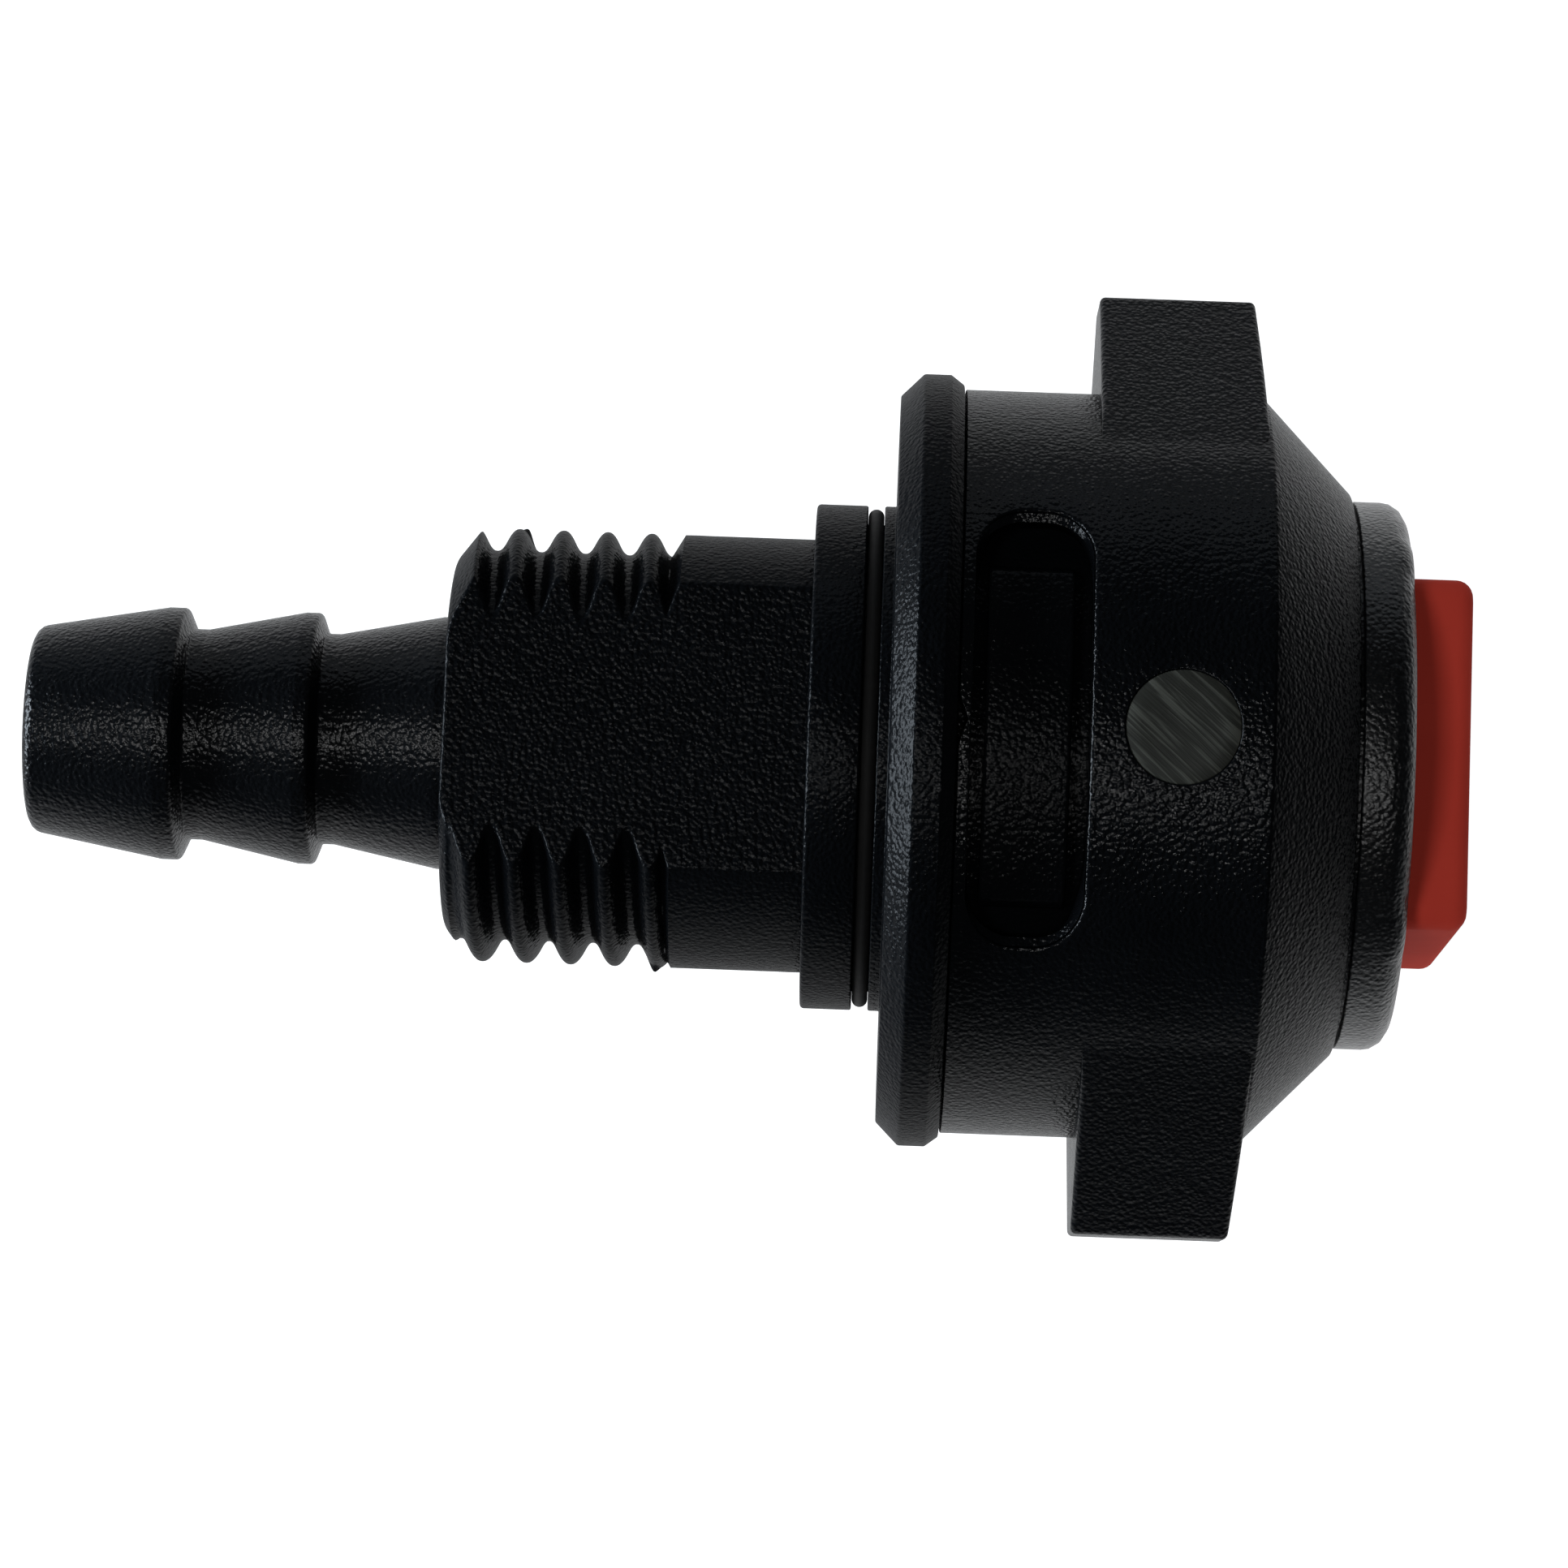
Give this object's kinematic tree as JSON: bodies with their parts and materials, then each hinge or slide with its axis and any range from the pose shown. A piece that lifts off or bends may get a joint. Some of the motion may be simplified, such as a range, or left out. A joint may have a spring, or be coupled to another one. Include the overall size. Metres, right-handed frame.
{
  "type": "push-button seacock valve",
  "caption": "Small push-button drain seacock: hose barb, threaded double-D shank, flange, winged cap and spring-return red button.",
  "frame": {"origin": "on the valve's axis, in the plane where the flange seats on the panel", "axes": "+X along the axis from the hose barb to the red button, +Y to a wing's tip, +Z to the middle of a window and its pin"},
  "size_m": [0.043, 0.0284, 0.0234],
  "materials": {
    "body_black": "fine spark-eroded grain, semi-matt black",
    "cap_black": "fine spark-eroded grain, semi-matt black",
    "nose_black": "fine grain, semi-matt black",
    "pin_grey": "sanded dark grey plastic with scratches",
    "button_red": "semi-gloss red with small scratches",
    "seal_rubber": "black nitrile",
    "inner_white": "natural white acetal",
    "inner_steel": "stainless steel"
  },
  "bodies": {
    "valve": {"valve_body": "body_black", "panel_o_ring": "seal_rubber", "seat_disc": "inner_white", "seat_o_ring": "seal_rubber", "stem_guide": "inner_white", "guide_o_ring": "seal_rubber", "stem_o_ring": "seal_rubber", "cap_o_ring": "seal_rubber", "return_spring": "inner_steel"},
    "cap": {"winged_cap": "cap_black", "cap_pin_upper": "pin_grey", "cap_pin_lower": "pin_grey", "nose_ring": "nose_black"},
    "button": {"push_button": "button_red", "stem": "inner_steel", "valve_disc": "inner_white", "disc_seal": "seal_rubber", "disc_clip": "inner_steel", "spring_washer": "inner_steel", "spring_clip": "inner_steel"}
  },
  "joints": [
    {"name": "cap_twist", "type": "hinge", "parent": "valve", "child": "cap", "pos_m": [0.0084, 0, 0], "axis": [1, 0, 0], "range_deg": [-2.5, 5]},
    {"name": "button_press", "type": "slide", "parent": "cap", "child": "button", "axis": [-1, 0, 0], "range_m": [0, 0.0016], "stiffness_N_per_m": 800, "springref_m": -0.002, "deforming": ["return_spring"]}
  ]
}
